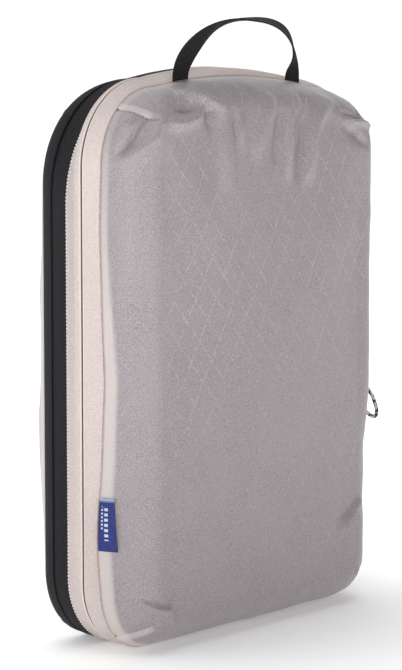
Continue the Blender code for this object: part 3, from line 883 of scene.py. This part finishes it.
def near_folds(grid):
    """The front tray's creases: round its left dart, under the handle and at the corners."""
    lift = fold(
        grid, -0.0017, 0.0017,
        (-0.109, -0.039, 0.340), (-0.117, -0.036, 0.332), (-0.124, -0.031, 0.320),
    )
    lift += fold(
        grid, 0.0021, 0.0033,
        (-0.102, -0.043, 0.339), (-0.109, -0.044, 0.328), (-0.115, -0.040, 0.321), (-0.124, -0.032, 0.315),
    )
    lift += fold(
        grid, 0.0012, 0.0045,
        (-0.114, -0.030, 0.341), (-0.121, -0.028, 0.330), (-0.126, -0.026, 0.321),
    )
    lift += fold(grid, 0.0017, 0.0036, (-0.071, -0.034, 0.356), (-0.048, -0.045, 0.348))
    lift += fold(grid, -0.0026, 0.0050, (-0.085, -0.044, 0.346), (-0.067, -0.043, 0.349))
    lift += fold(
        grid, 0.0018, 0.0034,
        (-0.094, -0.046, 0.337), (-0.080, -0.046, 0.337), (-0.066, -0.046, 0.343),
    )
    lift += fold(grid, -0.0022, 0.0036, (-0.056, -0.044, 0.349), (-0.060, -0.047, 0.336))
    lift += fold(grid, 0.0016, 0.0062, (-0.042, -0.046, 0.345), (-0.048, -0.049, 0.303))
    lift += fold(grid, -0.0011, 0.0030, (-0.035, -0.046, 0.344), (-0.036, -0.048, 0.328))
    lift += fold(grid, 0.0010, 0.0030, (-0.026, -0.047, 0.340), (-0.029, -0.048, 0.323))
    lift += fold(grid, 0.0017, 0.0056, (0.004, -0.045, 0.351), (-0.014, -0.048, 0.322))
    lift += fold(grid, -0.0016, 0.0030, (0.016, -0.045, 0.349), (0.004, -0.048, 0.316))
    lift += fold(grid, 0.0017, 0.0035, (0.025, -0.046, 0.347), (0.018, -0.049, 0.303))
    lift += fold(grid, -0.0018, 0.0045, (0.045, -0.042, 0.352), (0.030, -0.049, 0.303))
    lift += fold(grid, 0.0017, 0.0050, (0.069, -0.043, 0.349), (0.049, -0.047, 0.334), (0.042, -0.049, 0.303))
    lift += fold(grid, -0.0016, 0.0018, (0.083, -0.045, 0.3425), (0.104, -0.044, 0.337))
    lift += fold(grid, 0.0016, 0.0020, (0.082, -0.046, 0.338), (0.111, -0.041, 0.332))
    lift += fold(grid, -0.0014, 0.0026, (0.085, -0.046, 0.333), (0.106, -0.045, 0.321))
    lift += fold(grid, 0.0007, 0.0170, (-0.050, -0.049, 0.305), (-0.082, -0.049, 0.255))
    lift += fold(
        grid, 0.0015, 0.0024,
        (-0.117, -0.039, 0.034), (-0.099, -0.046, 0.028), (-0.093, -0.046, 0.021),
    )
    lift += fold(grid, 0.0013, 0.0026, (0.076, -0.049, 0.054), (0.106, -0.045, 0.070))
    return lift


def near_relief(grid, shares):
    """Shape of the front tray: full towards the right, slack between its creases."""
    x, z = grid[:, :, 0], grid[:, :, 2]
    free = smooth(0.0, 0.25, shares)[:, None]
    wall = np.sin(math.pi * np.clip(shares, 0.0, 1.0))[:, None]
    lift = 0.0013 * ripple(grid * (1.0, 1.0, 0.6), 0.060, 1.0)
    lift += 0.0005 * ripple(grid, 0.018, 2.0) * hill(np.maximum(shares - 1.0, 0.0), 0.35)[:, None]
    lift += 0.0034 * wall * smooth(0.085, 0.115, x) * smooth(0.10, 0.16, z) * smooth(0.352, 0.325, z)
    lift = (lift + near_folds(grid)) * free
    for corner, lap_side in DARTS:
        lift += dart_relief(grid, corner, lap_side)
    return lift


def far_relief(grid, shares):
    """Shape of the far tray: smoother than the front one, with its corners pressed in."""
    free = smooth(0.0, 0.35, shares)[:, None]
    lift = 0.0015 * ripple(grid, 0.07, 5.0)
    lift += 0.0006 * ripple(grid, 0.020, 6.0) * hill(np.maximum(shares - 1.0, 0.0), 0.35)[:, None]
    for x in (-0.075, -0.038, 0.004, 0.036, 0.071):
        lift += fold(grid, 0.0008, 0.0050, (x, 0.050, 0.345), (0.8 * x, 0.056, 0.305))
        lift += fold(grid, 0.0006, 0.0055, (0.9 * x, 0.050, 0.014), (0.75 * x, 0.056, 0.050))
    lift = lift * free
    columns = np.arange(grid.shape[1])
    wall = np.sin(math.pi * np.clip(shares, 0.0, 1.0))[:, None]
    for corner, lap_side in DARTS:
        lift += 0.8 * dart_relief(grid, corner, lap_side)
        lift -= 0.0065 * wall * hill(columns - corner, 0.7 * ARC_POINTS)[None, :]
    return lift


def panel(name, body, seam, side, depth, relief):
    """One tray of thin cloth, sewn in at the seam."""
    flat, shares = tray(seam, side, depth)
    grid = flat + grid_normals(flat, side) * relief(flat, shares)[:, :, None]
    if side < 0:
        hold = smooth(0.75, 0.0, shares)[:, None]
        grid[:, :, 1] += hold * seam_drift(flat[:, :, 0], flat[:, :, 2])
    piece = skin(name, grid, RIPSTOP, (False, True), centre=grid[-1].mean(axis=0))
    from_seam = run_along(flat)
    x, z = flat[:, :, 0], flat[:, :, 2]
    # rim band: the seam allowance showing through near the seam, widened and strengthened on the lower left
    # wall, which faces the key light, as painted light
    width = 0.0045 + 0.0035 * smooth(0.27, 0.17, z) * smooth(-0.05, -0.11, x)
    seam_show_and_painted_light = 0.30 + 0.50 * smooth(-0.05, -0.11, x) * smooth(0.35, 0.22, z)
    rim = seam_show_and_painted_light * smooth(width + 0.0018, width - 0.0012, from_seam[:, None])
    paint_points(piece, "rim", rim.ravel())
    lap = np.zeros(grid.shape[:2])
    for corner, lap_side in DARTS:
        gap, along, over = dart_lap(flat, corner, lap_side)
        on_lap = smooth(-0.0001, 0.0005, gap * over) * smooth(0.0052, 0.0036, gap)
        lap = np.maximum(lap, 0.42 * on_lap * smooth(0.86, 0.70, along))
    paint_points(piece, "lap", lap.ravel())
    thicken(piece, CLOTH)
    dress(piece, body, "ripstop_mauve_grey", name)
    out = grid_normals(grid, side)
    for number, corner in enumerate(CORNER_MIDDLES, 1):
        line = dart_line(grid, corner)[1:-1]
        thread = stitches(
            "%s_dart_thread_%d" % (name, number), line, out[1 : len(line) + 1, corner],
            THREAD_DARK, 0.0017, 0.0012, 0.00012,
        )
        dress(thread, body, "ripstop_mauve_grey")


def seam_thread(name, body, slot, y, depth, material, length, gap, radius, slant=0.0):
    """Stitches all round the ring at y."""
    path = ring_points(y, depth)
    if abs(y - NEAR_SEAM) < 0.25 * HALF_TAPE:
        path[:, 1] += seam_drift(path[:, 0], path[:, 2])
    out = closed_up(ring_normals(y)[2])
    dress(stitches(name, closed_up(path), out, material, length, gap, radius, slant), body, slot)


def hinge_spine():
    """Cloth hinge under the cube where the main zipper stops."""
    first = MID_SEAM + 0.5 * SEAM_GAP
    last = FAR_SEAM - 0.5 * SEAM_GAP
    xs = np.linspace(-SPINE_HALF, SPINE_HALF, 57)
    ys = np.linspace(first, last, 61)
    grid = np.zeros((len(ys), len(xs), 3))
    grid[:, :, 0] = xs[None, :]
    grid[:, :, 1] = ys[:, None]
    grid[:, :, 2] = 0.0002
    piece = skin("hinge_spine", grid, BLACK)
    solid = thicken(piece, 0.0008).modifiers["cloth"]
    solid.offset = 1.0 if piece.data.polygons[0].normal.z > 0.0 else -1.0
    paint_points(piece, "edge", np.zeros(1))
    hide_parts("hinge_spine_body", "hinge_spine_lid")
    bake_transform(piece)


# --- sliders, pulls


def pivot_of(joint):
    found = next(j for j in frame["joints"] if j["name"] == joint)
    return np.array(found["pos_m"])


def rounded_plate(bm, x0, x1, y, z, width, length, waist):
    """Slider wing: broad shoulders above, a narrower rounded tail below."""
    count = 28
    ring = []
    for k in range(count):
        turn = 2.0 * math.pi * k / count
        c, s = math.cos(turn), math.sin(turn)
        across = 0.5 * width * math.copysign(abs(c) ** 0.55, c)
        down = 0.5 * length * math.copysign(abs(s) ** 0.55, s)
        across *= 1.0 - waist * smooth(0.2, -1.0, down / (0.5 * length))
        ring.append((y + across, z + down))
    bevel = 0.00025
    levels = ((x0, 0.93), (x0 + bevel, 1.0), (x1 - bevel, 1.0), (x1, 0.93))
    rings = []
    for x, scale in levels:
        rings.append([bm.verts.new((x, y + (a - y) * scale, z + (b - z) * scale)) for a, b in ring])
    loft(bm, rings)


def slider(kind, slit):
    """Zip slider: two wings joined through the slit, and the bridge its pull hangs from."""
    node = kind + "_slider"
    low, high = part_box(node)
    z = 0.5 * (low.z + high.z)
    width = high.y - low.y
    length = high.z - low.z
    inner_low = low.x
    outer_low = HALF_WIDTH + 0.0062
    outer_high = outer_low + 0.0013
    bm = bmesh.new()
    rounded_plate(bm, outer_low, outer_high, slit, z, width, length, 0.28)
    rounded_plate(bm, inner_low, inner_low + 0.0010, slit, z, width, length, 0.28)
    rounded_plate(bm, inner_low + 0.0008, outer_low + 0.0002, slit, z + 0.0032, 0.0005, 0.0035, 0.0)
    rail = np.linspace(0.0, math.pi, 17)
    reach = 0.5 * (0.0092 - 0.0009)
    top = high.x - 0.00045 - outer_high
    path = np.stack([
        outer_high - 0.0003 + (top + 0.0003) * np.sin(rail) ** 0.35,
        np.full(len(rail), slit),
        z + reach * np.cos(rail),
    ], axis=1)
    sides = 10
    ribs = tube(path, 0.00045, sides)
    for rib in ribs:
        rib[:, 1] = slit + (rib[:, 1] - slit) * 2.4
    vertices = [[bm.verts.new(point) for point in rib] for rib in ribs]
    for s in range(sides):
        t = (s + 1) % sides
        for k in range(len(path) - 1):
            bm.faces.new((vertices[s][k], vertices[s][k + 1], vertices[t][k + 1], vertices[t][k]))
    bm.faces.new([v[0] for v in vertices])
    bm.faces.new([v[-1] for v in vertices])
    dress(finished(node, bm, METAL), node, "slider_black", node)


LINK_LENGTH = 0.0094
LINK_WIDTH = 0.0051
LINK_WIRE = 0.00055
CORD_RADIUS = 0.0014
CORD_ROUTE = (
    (-0.0022, 0.0),
    (-0.0010, 0.0020),
    (0.0040, 0.0025),
    (0.0130, 0.0046),
    (0.0230, 0.0063),
    (0.0330, 0.0066),
    (0.0410, 0.0052),
    (0.0467, 0.0027),
    (0.0482, 0.0),
)


def hang(local, pivot, lean):
    """Lean a pull, drawn straight down from its pivot, out from the wall."""
    c, s = math.cos(lean), math.sin(lean)
    local = np.asarray(local, float)
    x = local[..., 0] * c - local[..., 2] * s
    z = local[..., 0] * s + local[..., 2] * c
    return np.stack([x, local[..., 1], z], axis=-1) + pivot


def link(kind, pivot, lean):
    """Bent wire frame from the slider's bridge to the cord."""
    turn = 0.0009
    reach = 0.5 * LINK_WIDTH - turn
    low = turn - LINK_LENGTH
    path = []
    centres = ((reach, -turn), (-reach, -turn), (-reach, low), (reach, low))
    for quarter, (cy, cz) in enumerate(centres):
        for step in range(7):
            angle = 0.5 * math.pi * (quarter + step / 6.0)
            path.append((0.0, cy + turn * math.cos(angle), cz + turn * math.sin(angle)))
    grid = hang(tube(path, LINK_WIRE, 12, closed=True, up=(1.0, 0.0, 0.0)), pivot, lean)
    name = kind + "_pull_link"
    dress(skin(name, grid, METAL, (True, True)), kind + "_pull", "slider_black", name)


def smooth_loop(route, per_leg):
    """Closed Catmull-Rom curve through the route's points."""
    route = np.asarray(route)
    path = []
    for k in range(len(route)):
        p0, p1, p2, p3 = (route[(k + d) % len(route)] for d in (-1, 0, 1, 2))
        for step in range(per_leg):
            t = step / per_leg
            bend = 2.0 * p0 - 5.0 * p1 + 4.0 * p2 - p3
            turn = 3.0 * p1 - p0 - 3.0 * p2 + p3
            path.append(0.5 * (2.0 * p1 + (p2 - p0) * t + bend * t * t + turn * t ** 3))
    return np.array(path)


def cord(kind, pivot, lean):
    """Braided cord loop through the link, seen as the pull tab."""
    half = [(width, 0.0, -LINK_LENGTH - drop) for drop, width in CORD_ROUTE]
    mirrored = [(-x, y, h) for x, y, h in half[-2:0:-1]]
    path = hang(smooth_loop(half + mirrored, 12), pivot, lean)
    name = kind + "_pull_cord"
    grid = tube(path, CORD_RADIUS, 14, closed=True)
    piece = skin(name, grid, BRAID, (True, True))
    dress(piece, kind + "_pull", "cord_speckled", name)


# --- handle, label, patch


def seam_top(x):
    """Height of the crowned top seam at x."""
    reach = HALF_WIDTH - RADIUS_NEAR
    return HEIGHT + TOP_CROWN * (1.0 - (x / reach) ** 2)


def handle():
    """Webbing sewn flat into the top seam at both feet and turned on edge over the top."""
    centre = 0.0025
    half_span = 0.058
    rise = 0.0385
    clear = 0.0016
    foot = seam_top(half_span)
    count = 181
    share = np.linspace(0.0, 1.0, count)
    angle = math.pi * (1.0 - share)
    c, s = np.cos(angle), np.sin(angle)
    height = rise * np.abs(s) ** 0.86
    path = np.stack([
        centre + half_span * np.copysign(np.abs(c) ** np.where(c < 0.0, 0.95, 0.8), c),
        NEAR_SEAM - 0.010 * smooth(0.0, rise, height),
        foot + clear + height,
    ], axis=1)
    tangent = np.gradient(path, axis=0)
    tangent[0] = (0.0, 0.0, 1.0)
    tangent[-1] = (0.0, 0.0, -1.0)
    tangent = unit(tangent)
    turned = 90.0 * smooth(0.05, 0.52, share) + 54.0 * smooth(0.40, 0.78, share)
    twist = np.radians(turned + 36.0 * smooth(0.84, 1.0, share))
    side = unit(np.cross(np.array([0.0, 1.0, 0.0]), tangent))
    back = np.cross(tangent, side)
    wide = np.cos(twist)[:, None] * side + np.sin(twist)[:, None] * back
    thin = np.cross(tangent, wide)
    half_w, half_t = 0.0075, 0.00065
    profile = []
    sides = 24
    for k in range(sides):
        turn = 2.0 * math.pi * k / sides
        a = math.copysign(abs(math.cos(turn)) ** 0.35, math.cos(turn)) * half_w
        b = math.copysign(abs(math.sin(turn)) ** 0.6, math.sin(turn)) * half_t
        profile.append((a, b))
    grid = []
    for a, b in profile:
        row = path + wide * a + thin * b
        for end in (0, -1):
            row[end, 2] = seam_top(row[end, 0]) + 0.0003
        grid.append(row)
    piece = skin("grab_handle", grid, WEBBING, (True, False), caps=True)
    dress(piece, "handle", "webbing_black", "grab_handle")


def label():
    """Folded woven label standing a little off the side of the front tray."""
    low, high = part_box("side_label")
    middle = 0.5 * (low.z + high.z)
    half = 0.5 * (high.z - low.z)
    grid, _ = tray(NEAR_SEAM, -1, NEAR_DEPTH)
    column = CORNER_MIDDLES[3] - ARC_POINTS // 2 - SIDE_POINTS // 2
    wall = grid[:WALL_ROWS, column][:, (0, 1)]
    run = run_along(wall)
    normal = np.gradient(wall, axis=0)
    normal = unit(np.stack([normal[:, 1], -normal[:, 0]], axis=1))
    if normal[0, 0] > 0.0:
        normal = -normal
    rows = []
    steps = 19
    levels = 29
    for level in np.linspace(1.0, -1.0, levels):
        reach = 0.0082 + 0.0015 * (1.0 - level)
        line = []
        for share in np.linspace(0.0, 1.0, steps):
            at = 0.0006 + reach * share
            gap = 0.0010 + 0.0006 * share + 0.00045 * math.sin(2.6 * share + level)
            point = at_run(at, run, wall) + at_run(at, run, normal) * gap
            z = middle + half * level * (1.0 - 0.012 * share)
            line.append((point[0], point[1] + (1.0 - 0.5 * share) * seam_drift(point[0], z), z))
        rows.append(line)
    piece = skin("side_label", np.array(rows).transpose(1, 0, 2), LABEL)
    edge = np.zeros((steps, levels))
    edge[:, 0] = 0.9
    edge[:, 1] = 0.35
    paint_points(piece, "edge", edge.reshape(-1))
    thicken(piece, 0.0006)
    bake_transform(piece)
    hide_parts("side_label")


def end_patch():
    """Cloth patch that closes the end of the compression zipper."""
    low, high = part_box("compression_end_patch")
    ys = np.linspace(low.y, high.y, 13)
    zs = np.linspace(low.z, high.z, 19)
    last = len(zs) - 1
    grid = np.zeros((len(ys), len(zs), 3))
    for i, y in enumerate(ys):
        rise = max(swell_at(y) + 0.0005, 0.0062 * smooth(low.y, low.y + 0.006, y))
        for j, z in enumerate(zs):
            end = min(j, last - j) / last
            grid[i, j] = (HALF_WIDTH + rise + 0.0003 * smooth(0.0, 0.1, end), y, z)
    piece = skin("compression_end_patch", grid, BEIGE)
    paint_points(piece, "edge", np.zeros(1))
    thicken(piece, 0.0005)
    dress(piece, "near_shell", "tape_beige", "compression_end_patch")


def build():
    camera()
    studio()
    pulls = (("compression", COMPRESSION_SLIT, math.radians(43.0)), ("main", MAIN_SLIT, math.radians(14.0)))
    for kind, slit, lean in pulls:
        pivot = pivot_of(kind + "_pull_swing")
        slider(kind, slit)
        link(kind, pivot, lean)
        cord(kind, pivot, lean)

    half_slit = 0.5 * SLIT
    half_gap = 0.5 * SEAM_GAP
    zips = {"compression": ("beige", BEIGE, BEIGE_COIL, True), "main": ("black", BLACK, BLACK_COIL, False)}
    halves = (
        ("compression", "near", "near_shell", NEAR_SEAM + half_gap, COMPRESSION_SLIT, -1),
        ("compression", "far", "mid_ring", MID_SEAM - half_gap, COMPRESSION_SLIT, 1),
        ("main", "body", "mid_ring", MID_SEAM + half_gap, MAIN_SLIT, -1),
        ("main", "lid", "lid", FAR_SEAM - half_gap, MAIN_SLIT, 1),
    )
    for kind, half, body, seam_edge, slit, side in halves:
        shade, cloth, _, whole = zips[kind]
        name = "%s_tape_%s" % (kind, half)
        tape(name, body, "tape_" + shade, seam_edge, slit + side * half_slit, cloth, whole)
    for kind, half, body, _, slit, side in halves:
        shade, _, nylon, whole = zips[kind]
        coil("%s_coil_%s" % (kind, half), body, "coil_" + shade, slit, side, nylon, whole)
    binding("near_seam_binding", "near_shell", NEAR_SEAM)
    binding("mid_seam_binding", "mid_ring", MID_SEAM)
    binding("far_seam_binding", "lid", FAR_SEAM)
    gusset()
    hinge_spine()
    seam_thread(
        "near_seam_thread", "near_shell", "tape_beige", NEAR_SEAM + 0.0001, 0.0001,
        THREAD_TAN, 0.0024, 0.0002, 0.0003,
    )
    seam_thread(
        "mid_seam_thread", "mid_ring", "tape_beige", MID_SEAM - 0.0005, 0.0,
        THREAD_PALE, 0.0013, 0.0010, 0.0003, 0.0005,
    )
    panel("near_panel", "near_shell", NEAR_SEAM, -1, NEAR_DEPTH, near_relief)
    panel("far_panel", "lid", FAR_SEAM, 1, FAR_DEPTH, far_relief)
    handle()
    label()
    end_patch()


build()
